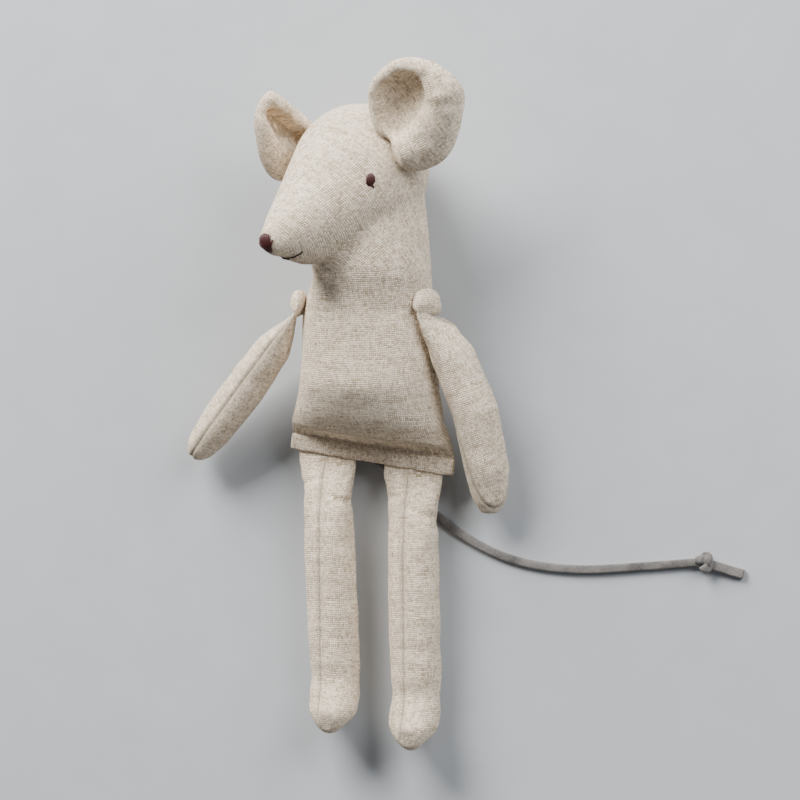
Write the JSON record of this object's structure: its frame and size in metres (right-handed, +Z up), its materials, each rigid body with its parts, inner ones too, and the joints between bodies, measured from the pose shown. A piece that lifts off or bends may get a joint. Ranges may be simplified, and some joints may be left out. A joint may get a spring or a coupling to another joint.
{
  "type": "stuffed mouse doll",
  "caption": "Stuffed linen mouse doll lying on its back, with sewn limbs that flop, bowl-shaped ears, stitched face and a knotted leather lace tail.",
  "frame": {"origin": "centre of the flat of the back, on the surface that the doll lies on", "axes": "+Z up out of the doll's front, +Y from the hem towards the head, +X towards the doll's own left arm"},
  "size_m": [0.1891, 0.2248, 0.0583],
  "materials": {
    "linen": "undyed natural linen in plain weave",
    "stuffing": "white fibre stuffing",
    "linen_thread": "undyed sewing thread",
    "brown_thread": "dark brown embroidery thread",
    "leather": "grey suede lace"
  },
  "bodies": {
    "torso": {"left_shoulder_thread": "linen_thread", "right_shoulder_thread": "linen_thread", "tail_knot": "leather", "tail_lace": "leather", "tail_tip": "leather", "torso_back_panel": "linen", "torso_front_panel": "linen", "torso_stuffing": "stuffing"},
    "head": {"head_left_panel": "linen", "head_right_panel": "linen", "head_stuffing": "stuffing", "left_eye": "brown_thread", "mouth": "brown_thread", "nose": "brown_thread", "right_eye": "brown_thread"},
    "left_ear": {"left_ear_back_panel": "linen", "left_ear_front_panel": "linen", "left_ear_wadding": "stuffing"},
    "right_ear": {"right_ear_back_panel": "linen", "right_ear_front_panel": "linen", "right_ear_wadding": "stuffing"},
    "left_shoulder": {"left_shoulder_flap": "linen", "left_shoulder_stitches": "linen_thread"},
    "right_shoulder": {"right_shoulder_flap": "linen", "right_shoulder_stitches": "linen_thread"},
    "left_arm": {"left_arm_inner_panel": "linen", "left_arm_outer_panel": "linen", "left_arm_stuffing": "stuffing"},
    "right_arm": {"right_arm_inner_panel": "linen", "right_arm_outer_panel": "linen", "right_arm_stuffing": "stuffing"},
    "left_leg": {"left_leg_inner_panel": "linen", "left_leg_outer_panel": "linen", "left_leg_stuffing": "stuffing"},
    "right_leg": {"right_leg_inner_panel": "linen", "right_leg_outer_panel": "linen", "right_leg_stuffing": "stuffing"}
  },
  "joints": [
    {"name": "neck_turn", "type": "hinge", "parent": "torso", "child": "head", "pos_m": [0.0015, 0.037, 0.0202], "axis": [0, 1, 0], "range_deg": [-5, 80]},
    {"name": "left_ear_fold", "type": "hinge", "parent": "head", "child": "left_ear", "pos_m": [0.01496, 0.07872, 0.03719], "axis": [0.7427, -0.6263, -0.2369], "range_deg": [-5, 18], "stiffness_Nm_per_rad": 0.01},
    {"name": "right_ear_fold", "type": "hinge", "parent": "head", "child": "right_ear", "pos_m": [-0.02266, 0.07855, 0.01271], "axis": [0.4101, 0.9054, -0.1097], "range_deg": [-5, 18], "stiffness_Nm_per_rad": 0.01},
    {"name": "left_arm_swing", "type": "hinge", "parent": "torso", "child": "left_shoulder", "pos_m": [0.0202, 0.024, 0.02396], "axis": [-0.9217, 0, -0.3878], "range_deg": [-15, 75]},
    {"name": "left_arm_raise", "type": "hinge", "parent": "left_shoulder", "child": "left_arm", "pos_m": [0.02223, 0.024, 0.02481], "axis": [-0.3878, 0, 0.9217], "range_deg": [0, 50]},
    {"name": "right_arm_swing", "type": "hinge", "parent": "torso", "child": "right_shoulder", "pos_m": [-0.02103, 0.024, 0.02147], "axis": [-0.9711, 0, 0.2386], "range_deg": [-15, 75]},
    {"name": "right_arm_raise", "type": "hinge", "parent": "right_shoulder", "child": "right_arm", "pos_m": [-0.02317, 0.024, 0.02199], "axis": [-0.2386, 0, -0.9711], "range_deg": [-8, 20]},
    {"name": "left_hip", "type": "hinge", "parent": "torso", "child": "left_leg", "pos_m": [0.0132, -0.02808, 0.00903], "axis": [-0.9877, 0.1564, 0], "range_deg": [0, 80]},
    {"name": "right_hip", "type": "hinge", "parent": "torso", "child": "right_leg", "pos_m": [-0.0167, -0.02334, 0.00903], "axis": [-0.9877, 0.1564, 0], "range_deg": [-60, 70]}
  ]
}
